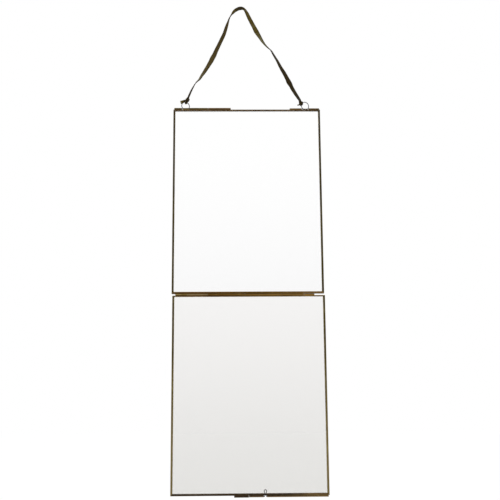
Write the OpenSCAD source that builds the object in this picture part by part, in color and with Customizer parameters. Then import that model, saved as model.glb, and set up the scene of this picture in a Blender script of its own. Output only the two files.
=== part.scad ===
// Hanging double photo frame: two glass and brass frames, one above the other, on a leather strap.
// Millimetres, +X to the right, +Y to the wall, +Z up. The origin is the point that the strap hangs from.

/* [Frames] */
// Width of each frame over its rails
frame_w = 206; // [160:1:300]
// Height of each frame over its rails
frame_h = 260.5; // [180:0.5:400]
// Width of the side and bottom rails, seen from the front
rail_w = 2.5; // [2:0.1:5]
// Width of the top rails, seen from the front
top_rail_w = 1.3; // [1.2:0.1:5]
// Thickness of one leaf, glass and rails together
leaf_t = 3; // [2.6:0.1:5]
// Wall of the channel that a rail is folded to
rail_wall = 0.5; // [0.3:0.05:0.8]
// Seam between the front leaf and the rear leaf, where a photo is held
seam = 0.2; // [0.1:0.05:0.6]
// Open height between the upper frame and the lower frame
slit = 2.7; // [2.6:0.1:6]
// How far the lower frame sits to the right of the upper one
lower_aside = 1; // [0:0.1:3]

/* [Glass] */
// Gap between a pane's face and the channel's wall
pane_play = 0.05; // [0.02:0.01:0.2]
// Gap between a pane's edge and the channel's floor
pane_edge_play = 0.3; // [0.1:0.05:0.8]

/* [Hinges] */
// Diameter of every hinge pin
pin_d = 1; // [0.8:0.05:1.4]
// Gap all round a pin in a knuckle that turns on it
pin_play = 0.05; // [0.02:0.01:0.09]
// Outside diameter of the knuckles in the slit
knuckle_d = 2.4; // [2.2:0.1:2.5]
// Outside diameter of the slimmer last knuckle of the leaf hinge, at the right end of the slit
end_knuckle_d = 1.8; // [1.7:0.1:2.5]
// Outside diameter of the knuckles of the left top hinge
left_knuckle_d = 3; // [2.2:0.1:3.4]
// Outside diameter of the knuckles of the right top hinge
right_knuckle_d = 1.8; // [1.7:0.1:2.6]
// Gap between one knuckle and the next along a pin
knuckle_gap = 0.3; // [0.2:0.05:0.8]
// Thickness of the foot that joins a knuckle to its rail
foot_t = 1; // [0.6:0.1:1.4]
// Height of the top hinge pins above the upper frame
top_pin_rise = 1.9; // [1.9:0.1:4]
// Inset of the outermost knuckles from the edge of the frame
knuckle_inset = 1; // [0.5:0.1:4]

/* [Rings] */
// Radius of a ring to the middle of its wire
ring_r = 5.6; // [5:0.1:7]
// Diameter of a ring's wire
ring_wire_d = 1; // [0.6:0.05:1.1]
// Turn of a ring about the vertical, so that it passes round its pin
ring_turn = 19; // [18:0.5:22]
// How far the lowest point of a ring's wire hangs below its pin's axis
ring_seat = 1.2; // [1.15:0.01:1.3]
// Length of pin that is left bare for a ring
ring_gap = 10; // [9.6:0.1:14]
// Middle of the left ring, from the left edge of the frame
left_ring_inset = 16.7; // [14:0.1:30]
// Middle of the right ring, from the right edge of the frame
right_ring_inset = 20.7; // [14:0.1:30]
// How far the lip in front of the left ring's gap reaches to the left of the ring's middle
ring_lip_reach = 3.6; // [3:0.1:3.6]
// Height of that lip above the front leaf
ring_lip_rise = 2.4; // [1:0.1:2.4]
// Thickness of that lip
ring_lip_t = 0.6; // [0.4:0.1:0.7]

/* [Catch] */
// Diameter of the catch's spring wire
catch_wire_d = 0.9; // [0.7:0.05:1]
// Outside diameter of the tubes that hold the catch
catch_tube_d = 2.2; // [2:0.1:2.4]
// Distance of the tubes' axis below the lower frame
catch_drop = 1.3; // [1.3:0.1:3]
// Open length between the two tubes
catch_gap = 4; // [3.8:0.1:6]
// Distance between the two arms of the catch, middle to middle
catch_arms = 2.6; // [2.2:0.1:2.8]
// Radius of the catch's finger loop to the middle of its wire
catch_loop_r = 1.7; // [1.6:0.1:3]
// Height of the finger loop's middle above the tubes' axis
catch_loop_rise = 6.9; // [6:0.1:14]
// Gap between the catch and the front of the lower frame
catch_clear = 0.35; // [0.2:0.05:1]
// Length of the catch's legs inside the tubes
catch_leg = 10; // [6:0.5:14]

/* [Finger tab] */
// Width of the tab that opens the lower front leaf
tab_w = 19; // [12:0.5:24]
// How far the tab stands out below the rail
tab_drop = 2.5; // [1.5:0.1:5]
// Thickness of the tab
tab_t = 1; // [0.6:0.1:1.6]
// Radius of the tab's lower corners
tab_corner = 0.6; // [0.3:0.1:1.2]

/* [Hanger] */
// Height of the hanging point above the upper frame
hang_rise = 154.5; // [150:0.5:170]
// How far the middle of the frames lies to the right of the hanging point
hang_aside = 5; // [0:0.5:10]
// Width of the leather strap
strap_w = 6.6; // [5:0.1:10]
// Thickness of the leather strap
strap_t = 1.2; // [0.8:0.1:2]
// Radius of a knot at its thickest
knot_r = 2.9; // [2.2:0.1:3.6]

/* [Hidden] */

$fn = 48;
brass = [0.42, 0.33, 0.17];
bright_brass = [0.62, 0.50, 0.27];
wire_steel = [0.45, 0.42, 0.40];
clear_glass = [0.86, 0.90, 0.88, 0.35];
leather = [0.30, 0.26, 0.17];

// One overrun for every cut
cut = 0.5;

// Places of the frames
upper_left = hang_aside - frame_w / 2;
upper_top = -hang_rise;
lower_left = upper_left + lower_aside;
lower_top = upper_top - frame_h - slit;
lower_bottom = lower_top - frame_h;
rear_y = seam / 2;
front_y = -seam / 2 - leaf_t;
back_face = rear_y + leaf_t;

// Places of the hinge axes
top_axis_z = upper_top + top_pin_rise;
slit_mid_z = lower_top + slit / 2;
leaf_axis_y = front_y + leaf_t / 2;
catch_axis_z = lower_bottom - catch_drop;

// Lengths along the top edge, as shares of the frame's width
left_hinge_end_share = 0.39;
left_hinge_joint_share = 0.234;
right_hinge_start_share = 0.794;
left_ring_x = upper_left + left_ring_inset;
right_ring_x = upper_left + frame_w - right_ring_inset;

// Joints between the knuckles in the slit, as shares of the frame's width
slit_knuckle_shares = [0.024, 0.102, 0.238, 0.481, 0.723, 0.869, 0.936];

// Start of the short tube and of its end along the bottom edge, as shares of the frame's width
catch_tube_start_share = 0.494;
catch_tube_end_share = 0.587;

ring_z = top_axis_z - ring_seat + ring_r;
strap_corner_share = 0.3;

// Route of the strap from the left knot over the hanging point to the right knot: x, y, z, turn of its face
strap_route = [
    [-78, 0, -137, 96], [-74, 0, -127, 92], [-69, 0, -117, 80], [-66, 0, -112.5, 69],
    [-62, 0, -108.5, 57], [-59, 0, -103.5, 48], [-56, 0, -99, 37], [-50.5, 0, -90, 25],
    [-48, 0, -85.5, 18], [-45.5, 0, -81, 5], [-43.5, 0, -76.5, -12], [-41, 0, -72, -30],
    [-39, 0, -67, -42], [-35, 0, -58, -50], [-31, 0, -49, -52], [-27, 0, -40, -55],
    [-24, 0, -30.5, -60], [-22.5, 0, -26, -70], [-21, 0, -21.5, -81], [-19.5, 0, -16.5, -92],
    [-17.5, 0, -12, -106], [-14.5, 0, -8, -125], [-11.5, 0, -4, -146], [-7, 0, -1, -157],
    [-3, 0, 0, -161], [0.5, 0, -0.5, -144], [3.5, 0, -3, -131], [6, 0, -7.5, -142],
    [8, 0, -12, -149], [12.5, 0, -21.5, -158], [17, 0, -30.5, -166], [19, 0, -35, -194],
    [21.5, 0, -39.5, -224], [24.5, 0, -44.5, -242], [27, 0, -49, -252], [30, 0, -53.5, -266],
    [33.5, 0, -58, -278], [37.5, 0, -62, -286], [40.5, 0, -65, -294], [44.5, 0, -72.5, -302],
    [49, 0, -80.5, -309], [53.5, 0, -90, -319], [56, 0, -94.5, -327], [58.5, 0, -99, -332],
    [63, 0, -108, -340], [65, 0, -112.5, -374], [67.5, 0, -117, -406], [69.5, 0, -121.5, -416],
    [74.5, 0, -130.5, -427], [79.5, 0, -138.5, -437], [81, 0, -142.5, -440]
];

// Lumps of the knots and of their tails: middle from the ring's middle, as shares of the ring's radius,
// and radius, as a share of the knot's
left_knot_shares = [[0.62, 0, 1.96, 0.55], [0.44, 0, 1.55, 1], [0.24, 0, 0.98, 0.7], [0.18, 0, 0.68, 0.5]];
left_tail_shares = [[-0.05, -0.2, 1.2, 0.5], [-0.6, -0.3, 1.02, 0.5], [-1.05, -0.25, 0.8, 0.75]];
right_knot_shares = [[-1.08, 0, 1.12, 0.6], [-0.92, 0, 0.68, 1], [-0.98, 0, 0.32, 0.7]];
right_tail_shares = [[-1, -0.2, 0.3, 0.5], [-1.47, -0.3, 0.17, 0.42], [-1.85, -0.25, 0.1, 0.32]];

function unit(v) = v / norm(v);
function place(p) = [p[0], p[1], p[2]];
function heading(path, i) =
    unit(place(path[min(i + 1, len(path) - 1)]) - place(path[max(i - 1, 0)]));
function across(t) = unit(cross(t, [0, 1, 0]));
function width_dir(t, turn) = across(t) * cos(turn) + [0, 1, 0] * sin(turn);

// The flat section of the strap, with its long edges broken
function strap_section(w, t, c) = [
    [w, t - c], [w - c, t], [c - w, t], [-w, t - c],
    [-w, c - t], [c - w, -t], [w - c, -t], [w, c - t]
];

// Triangles that join rings of n points each, and close both ends
function skin(rings, n) = concat(
    [for (i = [0 : rings - 2]) for (k = [0 : n - 1])
        [i * n + k, (i + 1) * n + k, i * n + (k + 1) % n]],
    [for (i = [0 : rings - 2]) for (k = [0 : n - 1])
        [i * n + (k + 1) % n, (i + 1) * n + k, (i + 1) * n + (k + 1) % n]],
    [for (k = [1 : n - 2]) [0, k, k + 1]],
    [for (k = [1 : n - 2]) [(rings - 1) * n, (rings - 1) * n + k + 1, (rings - 1) * n + k]]
);

// A round wire along a path, with its corners taken by short curves
function bend(a, b, c, r, n) = [
    for (i = [0 : n])
        let (s = i / n, p = b + unit(a - b) * r, q = b + unit(c - b) * r)
            p * (1 - s) * (1 - s) + b * 2 * s * (1 - s) + q * s * s
];
function wire_point(path, i, angle, r) =
    let (
        t = heading(path, i),
        u = unit(cross([1, 1, 1], t)),
        v = cross(t, u)
    )
    path[i] + (u * cos(angle) + v * sin(angle)) * r;

module wire(path, r, sides) {
    points = [
        for (i = [0 : len(path) - 1])
            for (k = [0 : sides - 1])
                wire_point(path, i, k * 360 / sides, r)
    ];
    polyhedron(points = points, faces = skin(len(path), sides), convexity = 6);
}

// Hanger: strap, knots and rings

module leather_strap() {
    half_w = strap_w / 2;
    half_t = strap_t / 2;
    section = strap_section(half_w, half_t, strap_t * strap_corner_share);
    points = [
        for (i = [0 : len(strap_route) - 1])
            let (
                t = heading(strap_route, i),
                w = width_dir(t, strap_route[i][3]),
                n = cross(t, w)
            )
            for (s = section)
                place(strap_route[i]) + w * s[0] + n * s[1]
    ];
    color(leather)
        polyhedron(points = points, faces = skin(len(strap_route), len(section)), convexity = 10);
}

module lump(share, x) {
    translate([x, 0, ring_z] + place(share) * ring_r)
        sphere(knot_r * share[3], $fn = 24);
}

module lump_chain(shares, x) {
    for (i = [0 : len(shares) - 2])
        hull() {
            lump(shares[i], x);
            lump(shares[i + 1], x);
        }
}

module left_knot() {
    color(leather) {
        lump_chain(left_knot_shares, left_ring_x);
        lump_chain(left_tail_shares, left_ring_x);
    }
}

module right_knot() {
    color(leather) {
        lump_chain(right_knot_shares, right_ring_x);
        lump_chain(right_tail_shares, right_ring_x);
    }
}

module ring(x) {
    color(wire_steel)
        translate([x, 0, ring_z])
            rotate([0, 0, ring_turn])
                rotate([90, 0, 0])
                    rotate_extrude()
                        translate([ring_r, 0])
                            circle(d = ring_wire_d, $fn = 24);
}

module left_ring() ring(left_ring_x);
module right_ring() ring(right_ring_x);

// Leaves: four mitred channel rails round a pane

function rail_outline(side) =
    side == "top" ? [[0, 0], [rail_w, -top_rail_w], [frame_w - rail_w, -top_rail_w], [frame_w, 0]] :
    side == "bottom" ? [
        [0, -frame_h], [frame_w, -frame_h],
        [frame_w - rail_w, rail_w - frame_h], [rail_w, rail_w - frame_h]
    ] :
    side == "left" ? [[0, 0], [0, -frame_h], [rail_w, rail_w - frame_h], [rail_w, -top_rail_w]] :
    [
        [frame_w, 0], [frame_w - rail_w, -top_rail_w],
        [frame_w - rail_w, rail_w - frame_h], [frame_w, -frame_h]
    ];

module rail(left, y, top, side) {
    channel_t = leaf_t - 2 * rail_wall;
    color(brass)
        translate([left, y, top])
            difference() {
                translate([0, leaf_t, 0])
                    rotate([90, 0, 0])
                        linear_extrude(leaf_t)
                            polygon(rail_outline(side));
                translate([rail_wall, rail_wall, rail_wall - frame_h])
                    cube([frame_w - 2 * rail_wall, channel_t, frame_h - 2 * rail_wall]);
            }
}

module pane(left, y, top) {
    inset = rail_wall + pane_edge_play;
    color(clear_glass)
        translate([left + inset, y + rail_wall + pane_play, top - frame_h + inset])
            cube([frame_w - 2 * inset, leaf_t - 2 * (rail_wall + pane_play), frame_h - 2 * inset]);
}

module upper_rear_top_rail() rail(upper_left, rear_y, upper_top, "top");
module upper_rear_bottom_rail() rail(upper_left, rear_y, upper_top, "bottom");
module upper_rear_left_rail() rail(upper_left, rear_y, upper_top, "left");
module upper_rear_right_rail() rail(upper_left, rear_y, upper_top, "right");
module upper_rear_glass() pane(upper_left, rear_y, upper_top);

module upper_front_top_rail() rail(upper_left, front_y, upper_top, "top");
module upper_front_bottom_rail() rail(upper_left, front_y, upper_top, "bottom");
module upper_front_left_rail() rail(upper_left, front_y, upper_top, "left");
module upper_front_right_rail() rail(upper_left, front_y, upper_top, "right");
module upper_front_glass() pane(upper_left, front_y, upper_top);

module lower_rear_top_rail() rail(lower_left, rear_y, lower_top, "top");
module lower_rear_bottom_rail() rail(lower_left, rear_y, lower_top, "bottom");
module lower_rear_left_rail() rail(lower_left, rear_y, lower_top, "left");
module lower_rear_right_rail() rail(lower_left, rear_y, lower_top, "right");
module lower_rear_glass() pane(lower_left, rear_y, lower_top);

module lower_front_top_rail() rail(lower_left, front_y, lower_top, "top");
module lower_front_bottom_rail() rail(lower_left, front_y, lower_top, "bottom");
module lower_front_left_rail() rail(lower_left, front_y, lower_top, "left");
module lower_front_right_rail() rail(lower_left, front_y, lower_top, "right");
module lower_front_glass() pane(lower_left, front_y, lower_top);

// Hinges: pins, and knuckles that each stand on a foot

// A round bar along X
module bar(from, to, y, z, d) {
    translate([from, y, z])
        rotate([0, 90, 0])
            cylinder(d = d, h = to - from);
}

// The bore that a pin runs in, cut past both ends
module bore(from, to, y, z, d) bar(from - cut, to + cut, y, z, d);

// A foot between a rail's edge at rail_z and a knuckle's axis
module foot(from, to, y, axis_z, rail_z) {
    translate([from, y, min(axis_z, rail_z)])
        cube([to - from, foot_t, abs(axis_z - rail_z)]);
}

module knuckle(from, to, y, z, foot_y, rail_z, d) {
    color(bright_brass)
        difference() {
            union() {
                bar(from, to, y, z, d);
                foot(from, to, foot_y, z, rail_z);
            }
            bore(from, to, y, z, pin_d + 2 * pin_play);
        }
}

module pin(from, to, y, z) {
    color(wire_steel) bar(from, to, y, z, pin_d);
}

// Top hinge, left: rear knuckle, ring, leaf knuckle, rear knuckle
left_hinge_start = upper_left + knuckle_inset;
left_hinge_end = upper_left + frame_w * left_hinge_end_share;
left_hinge_joint = upper_left + frame_w * left_hinge_joint_share;
leaf_foot_y = -rear_y - foot_t;

module top_knuckle(from, to, foot_y, d) knuckle(from, to, 0, top_axis_z, foot_y, upper_top, d);

module left_hinge_outer_knuckle()
    top_knuckle(left_hinge_start, left_ring_x - ring_gap / 2, rear_y, left_knuckle_d);
module left_hinge_leaf_knuckle()
    top_knuckle(left_ring_x + ring_gap / 2, left_hinge_joint, leaf_foot_y, left_knuckle_d);
module left_hinge_inner_knuckle()
    top_knuckle(left_hinge_joint + knuckle_gap, left_hinge_end, rear_y, left_knuckle_d);
module left_hinge_pin() pin(left_hinge_start, left_hinge_end, 0, top_axis_z);

// The lip on the front leaf that closes the view of the left ring's gap, rounded along its top
module left_ring_lip() {
    lip_left = left_ring_x - ring_lip_reach;
    lip_right = left_ring_x + ring_gap / 2 - knuckle_gap;
    lip_y = front_y + ring_lip_t;
    color(bright_brass) {
        translate([lip_left, lip_y - ring_lip_t / 2, upper_top])
            cube([lip_right - lip_left, ring_lip_t, ring_lip_rise - ring_lip_t / 2]);
        bar(lip_left, lip_right, lip_y, upper_top + ring_lip_rise - ring_lip_t / 2, ring_lip_t);
    }
}

// Top hinge, right: leaf knuckle, ring, rear knuckle
right_hinge_start = upper_left + frame_w * right_hinge_start_share;
right_hinge_end = upper_left + frame_w - knuckle_inset;

module right_hinge_leaf_knuckle()
    top_knuckle(right_hinge_start, right_ring_x - ring_gap / 2, leaf_foot_y, right_knuckle_d);
module right_hinge_outer_knuckle()
    top_knuckle(right_ring_x + ring_gap / 2, right_hinge_end, rear_y, right_knuckle_d);
module right_hinge_pin() pin(right_hinge_start, right_hinge_end, 0, top_axis_z);

// Slit between the frames: a fold hinge at the back and a leaf hinge at the front, side by side
function slit_knuckle_start(i) = upper_left + frame_w * slit_knuckle_shares[i];
function slit_knuckle_end(i) =
    upper_left + frame_w * slit_knuckle_shares[i + 1] - (i < len(slit_knuckle_shares) - 2 ? knuckle_gap : 0);

module fold_knuckle(i)
    knuckle(slit_knuckle_start(i), slit_knuckle_end(i), back_face, slit_mid_z,
        back_face - foot_t, slit_mid_z + slit / 2, knuckle_d);

module fold_knuckle_left() fold_knuckle(1);
module fold_knuckle_right() fold_knuckle(3);

// A knuckle of the fold hinge and one of the leaf hinge on a common web, all on the lower rear leaf
module hinge_link(i) {
    from = slit_knuckle_start(i);
    to = slit_knuckle_end(i);
    bore_d = pin_d + 2 * pin_play;
    color(bright_brass)
        difference() {
            union() {
                bar(from, to, back_face, slit_mid_z, knuckle_d);
                bar(from, to, leaf_axis_y, slit_mid_z, knuckle_d);
                foot(from, to, back_face - foot_t, slit_mid_z, lower_top);
                translate([from, leaf_axis_y, slit_mid_z - foot_t / 2])
                    cube([to - from, back_face - leaf_axis_y, foot_t]);
            }
            bore(from, to, back_face, slit_mid_z, bore_d);
            bore(from, to, leaf_axis_y, slit_mid_z, bore_d);
        }
}

module hinge_link_left() hinge_link(0);
module hinge_link_middle() hinge_link(2);
module hinge_link_right() hinge_link(4);

module lower_leaf_knuckle(i, d)
    knuckle(slit_knuckle_start(i), slit_knuckle_end(i), leaf_axis_y, slit_mid_z,
        leaf_axis_y - foot_t / 2, lower_top, d);

module lower_leaf_knuckle_left() lower_leaf_knuckle(1, knuckle_d);
module lower_leaf_knuckle_right() lower_leaf_knuckle(3, knuckle_d);
module lower_leaf_knuckle_end() lower_leaf_knuckle(5, end_knuckle_d);

module fold_pin() pin(slit_knuckle_start(0), slit_knuckle_end(4), back_face, slit_mid_z);
module lower_leaf_pin() pin(slit_knuckle_start(0), slit_knuckle_end(5), leaf_axis_y, slit_mid_z);

// Bottom edge: finger tab, tubes and wire catch
tube_start = lower_left + frame_w * catch_tube_start_share;
short_tube_end = lower_left + frame_w * catch_tube_end_share;
long_tube_start = short_tube_end + catch_gap;
long_tube_end = lower_left + frame_w - knuckle_inset;
catch_x = short_tube_end + catch_gap / 2;

module catch_tube(from, to) {
    color(bright_brass)
        difference() {
            union() {
                bar(from, to, 0, catch_axis_z, catch_tube_d);
                foot(from, to, rear_y, catch_axis_z, lower_bottom);
            }
            bore(from, to, 0, catch_axis_z, catch_wire_d + 2 * pin_play);
        }
}

module catch_tube_short() catch_tube(tube_start, short_tube_end);
module catch_tube_long() catch_tube(long_tube_start, long_tube_end);

module finger_tab() {
    tab_right = tube_start - knuckle_gap;
    color(brass)
        translate([tab_right - tab_w, front_y + (leaf_t + tab_t) / 2, lower_bottom - tab_drop])
            rotate([90, 0, 0])
                linear_extrude(tab_t) {
                    translate([tab_corner, 0]) square([tab_w - 2 * tab_corner, tab_drop]);
                    translate([0, tab_corner]) square([tab_w, tab_drop - tab_corner]);
                    for (x = [tab_corner, tab_w - tab_corner])
                        translate([x, tab_corner]) circle(tab_corner);
                }
}

// The catch's arms go under the front rail and stand up before it, drawn in to a neck below the loop
catch_front = front_y - catch_clear - catch_wire_d / 2;
catch_neck_share = 0.4;
catch_neck_rise_share = 0.62;
catch_bend = 0.9;
loop_steps = 20;
loop_sweep = 236;
catch_loop_z = catch_axis_z + catch_loop_rise;
catch_neck_z = catch_axis_z + catch_loop_rise * catch_neck_rise_share;

catch_loop_half = [
    for (i = [0 : loop_steps])
        let (a = 90 - loop_sweep / 2 + loop_sweep * i / loop_steps)
            [catch_x + catch_loop_r * cos(a), catch_front, catch_loop_z + catch_loop_r * sin(a)]
];

function catch_leg_end(s) = [catch_x + s * (catch_gap / 2 + catch_leg), 0, catch_axis_z];
function catch_arm_point(s) = [catch_x + s * catch_arms / 2, 0, catch_axis_z];
function catch_foot_point(s) = [catch_x + s * catch_arms / 2, catch_front, catch_axis_z];
function catch_neck_point(s) = [catch_x + s * catch_loop_r * catch_neck_share, catch_front, catch_neck_z];

catch_path = concat(
    [catch_leg_end(1)],
    bend(catch_leg_end(1), catch_arm_point(1), catch_foot_point(1), catch_bend, 5),
    bend(catch_arm_point(1), catch_foot_point(1), catch_neck_point(1), catch_bend, 5),
    bend(catch_foot_point(1), catch_neck_point(1), catch_loop_half[0], catch_bend, 3),
    catch_loop_half,
    bend(catch_loop_half[loop_steps], catch_neck_point(-1), catch_foot_point(-1), catch_bend, 3),
    bend(catch_neck_point(-1), catch_foot_point(-1), catch_arm_point(-1), catch_bend, 5),
    bend(catch_foot_point(-1), catch_arm_point(-1), catch_leg_end(-1), catch_bend, 5),
    [catch_leg_end(-1)]
);

module wire_catch() {
    color(wire_steel) wire(catch_path, catch_wire_d / 2, 16);
}

leather_strap();
left_knot();
right_knot();
left_ring();
right_ring();
upper_rear_top_rail();
upper_rear_bottom_rail();
upper_rear_left_rail();
upper_rear_right_rail();
upper_rear_glass();
left_hinge_outer_knuckle();
left_hinge_inner_knuckle();
right_hinge_outer_knuckle();
left_hinge_pin();
right_hinge_pin();
fold_knuckle_left();
fold_knuckle_right();
fold_pin();
upper_front_top_rail();
upper_front_bottom_rail();
upper_front_left_rail();
upper_front_right_rail();
upper_front_glass();
left_hinge_leaf_knuckle();
right_hinge_leaf_knuckle();
left_ring_lip();
lower_rear_top_rail();
lower_rear_bottom_rail();
lower_rear_left_rail();
lower_rear_right_rail();
lower_rear_glass();
hinge_link_left();
hinge_link_middle();
hinge_link_right();
lower_leaf_pin();
catch_tube_short();
catch_tube_long();
lower_front_top_rail();
lower_front_bottom_rail();
lower_front_left_rail();
lower_front_right_rail();
lower_front_glass();
lower_leaf_knuckle_left();
lower_leaf_knuckle_right();
lower_leaf_knuckle_end();
finger_tab();
wire_catch();
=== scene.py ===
"""Hanging double photo frame: two hinged frames of glass and thin brass on a leather strap.

Everything is in metres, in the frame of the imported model: +X to the right, +Y to the wall, +Z up. The
origin is the point that the strap hangs from.
"""

import logging
import math
from dataclasses import dataclass
from enum import Enum

import bmesh
import bpy
from bpy.types import ID, Material, Mesh, MeshPolygon, NodeSocket, Object, World
from mathutils import Matrix, Vector, noise


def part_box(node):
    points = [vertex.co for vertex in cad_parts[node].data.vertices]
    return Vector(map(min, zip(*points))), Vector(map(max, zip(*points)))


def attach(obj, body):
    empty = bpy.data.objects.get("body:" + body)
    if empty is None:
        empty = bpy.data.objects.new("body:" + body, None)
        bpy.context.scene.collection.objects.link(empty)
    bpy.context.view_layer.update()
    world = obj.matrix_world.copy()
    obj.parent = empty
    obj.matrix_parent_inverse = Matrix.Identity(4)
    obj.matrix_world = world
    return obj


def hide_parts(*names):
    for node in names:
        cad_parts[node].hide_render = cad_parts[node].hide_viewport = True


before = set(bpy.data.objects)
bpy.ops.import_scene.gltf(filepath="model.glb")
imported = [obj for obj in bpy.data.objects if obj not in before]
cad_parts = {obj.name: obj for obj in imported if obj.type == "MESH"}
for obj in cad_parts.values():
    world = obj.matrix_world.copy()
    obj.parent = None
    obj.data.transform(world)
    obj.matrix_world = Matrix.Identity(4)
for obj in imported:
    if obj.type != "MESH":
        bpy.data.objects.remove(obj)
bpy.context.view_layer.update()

log = logging.getLogger("photo_frame")

MM = 0.001
TO_WALL = Vector((0.0, 1.0, 0.0))
Colour = tuple[float, float, float, float]


def shade(red: float, green: float, blue: float) -> Colour:
    """Turns a display colour into the linear colour that a socket holds.

    Args:
        red: Red from 0 to 255, as a screen shows it.
        green: Green from 0 to 255.
        blue: Blue from 0 to 255.

    Returns:
        The linear colour with full opacity.
    """
    linear = [
        part / 12.92 if part <= 0.04045 else ((part + 0.055) / 1.055) ** 2.4
        for part in (red / 255, green / 255, blue / 255)
    ]
    return (linear[0], linear[1], linear[2], 1.0)


def add_object(name: str, data: ID) -> Object:
    """Makes an object of some data and links it to the scene."""
    made = bpy.data.objects.new(name, data)
    bpy.context.scene.collection.objects.link(made)
    return made


class Channel:
    """A number or colour on its way through a material; sums on it add Math nodes."""

    def __init__(self, bench: "NodeBench", socket: NodeSocket) -> None:
        """Wraps the socket that carries the value."""
        self.bench = bench
        self.socket = socket

    def __add__(self, other: "Channel | float") -> "Channel":
        """Self plus other."""
        return self.bench.math("ADD", self, other)

    def __sub__(self, other: "Channel | float") -> "Channel":
        """Self less other."""
        return self.bench.math("SUBTRACT", self, other)

    def __rsub__(self, other: "Channel | float") -> "Channel":
        """Other less self."""
        return self.bench.math("SUBTRACT", other, self)

    def __mul__(self, other: "Channel | float") -> "Channel":
        """Self times other."""
        return self.bench.math("MULTIPLY", self, other)

    def __pow__(self, other: "Channel | float") -> "Channel":
        """Self to the power of other."""
        return self.bench.math("POWER", self, other)


class NodeBench:
    """The nodes of one material or world."""

    def __init__(self, owner: Material | World) -> None:
        """Empties the owner's tree.

        Args:
            owner: The material or world that the nodes are for.
        """
        owner.use_nodes = True
        self.owner = owner
        self.nodes = owner.node_tree.nodes
        self.links = owner.node_tree.links
        self.nodes.clear()

    def node(
        self,
        kind: str,
        settings: dict | None = None,
        inputs: dict | None = None,
        output: int | str = 0,
    ) -> Channel:
        """Adds one node.

        Args:
            kind: The node's type.
            settings: Its properties; "stops" holds a ramp's positions and colours.
            inputs: Values or channels, by the socket's identifier, name or number.
            output: The socket that is wanted, by identifier, name or number.

        Returns:
            The channel from that output.
        """
        made = self.nodes.new(kind)
        for key, value in (settings or {}).items():
            if key == "stops":
                ramp = made.color_ramp
                while len(ramp.elements) < len(value):
                    ramp.elements.new(1.0)
                for element, (position, colour) in zip(ramp.elements, value):
                    element.position = position
                    element.color = colour
            else:
                setattr(made, key, value)
        for key, value in (inputs or {}).items():
            socket = self.find(made.inputs, key)
            if isinstance(value, Channel):
                self.links.new(value.socket, socket)
            else:
                socket.default_value = value
        return Channel(self, self.find(made.outputs, output))

    @staticmethod
    def find(sockets: bpy.types.bpy_prop_collection, key: int | str) -> NodeSocket:
        """Looks a socket up by its number, identifier or name."""
        if isinstance(key, int):
            return sockets[key]
        for socket in sockets:
            if socket.identifier == key:
                return socket
        return sockets[key]

    def math(self, operation: str, *values: Channel | float) -> Channel:
        """Adds a Math node on the values."""
        return self.node("ShaderNodeMath", {"operation": operation}, dict(enumerate(values)))

    def plain_view(self) -> Channel:
        """1 for what the camera sees, also by way of glass or metal, and 0 for other light."""
        seen, through, mirrored = (
            self.node("ShaderNodeLightPath", output=f"Is {kind} Ray")
            for kind in ("Camera", "Transmission", "Glossy")
        )
        return self.math("MAXIMUM", self.math("MAXIMUM", seen, through), mirrored)

    def close(self, shader: Channel, kind: str = "ShaderNodeOutputMaterial") -> Material | World:
        """Links the shader to an output of that kind, and returns the material or world."""
        output = self.nodes.new(kind)
        self.links.new(shader.socket, output.inputs["Surface"])
        return self.owner


class FinishBench(NodeBench):
    """The nodes of one material, with the steps that finishes share."""

    def __init__(self, name: str) -> None:
        """Starts a material with its object coordinates.

        Args:
            name: The material's name.
        """
        super().__init__(bpy.data.materials.new(name))
        self.place = self.node("ShaderNodeTexCoord", output="Object")

    def span(self, value: Channel, low: float, high: float, start: float = 0.0, end: float = 1.0) -> Channel:
        """Takes low to high smoothly onto start to end, and holds the ends.

        Args:
            value: What is mapped.
            low: Value that becomes start.
            high: Value that becomes end.
            start: Result at low.
            end: Result at high.

        Returns:
            The mapped value.
        """
        return self.node(
            "ShaderNodeMapRange",
            {"interpolation_type": "SMOOTHSTEP"},
            {"Value": value, "From Min": low, "From Max": high, "To Min": start, "To Max": end},
        )

    def blend(self, share: Channel | float, first: Channel | Colour, second: Channel | Colour) -> Channel:
        """Mixes two colours.

        Args:
            share: Share of the second colour.
            first: Colour at 0.
            second: Colour at 1.

        Returns:
            The mixed colour.
        """
        return self.node(
            "ShaderNodeMix",
            {"data_type": "RGBA"},
            {"Factor_Float": share, "A_Color": first, "B_Color": second},
            "Result_Color",
        )

    def scaled(self, vector: Channel, size: Vector) -> Channel:
        """Multiplies a vector, part by part."""
        return self.node(
            "ShaderNodeVectorMath", {"operation": "MULTIPLY"}, {0: vector, 1: size}, "Vector"
        )

    def cloud(self, vector: Channel, scale: float, detail: float = 3.0, roughness: float = 0.55) -> Channel:
        """Noise from 0 to 1.

        Args:
            vector: Where it is read.
            scale: Cells to a unit of the vector.
            detail: Octaves.
            roughness: Strength of the finer octaves.

        Returns:
            The noise's value.
        """
        return self.node(
            "ShaderNodeTexNoise",
            {"noise_dimensions": "3D"},
            {"Vector": vector, "Scale": scale, "Detail": detail, "Roughness": roughness},
            "Fac",
        )

    def mark(self, name: str) -> Channel:
        """Reads an attribute of the mesh as a number."""
        return self.node("ShaderNodeAttribute", {"attribute_name": name}, output="Fac")

    def bump(self, height: Channel, depth: float, strength: float = 1.0) -> Channel:
        """Normal that a height gives.

        Args:
            height: Height from 0 to 1.
            depth: Depth of a height of 1, in metres.
            strength: Share of the bump that is used.

        Returns:
            The bumped normal.
        """
        return self.node(
            "ShaderNodeBump", {}, {"Strength": strength, "Distance": depth, "Height": height}, "Normal"
        )

    def principled(self, inputs: dict) -> Material:
        """Closes the material with a Principled shader that has these inputs."""
        return self.close(self.node("ShaderNodeBsdfPrincipled", {}, inputs))


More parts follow.
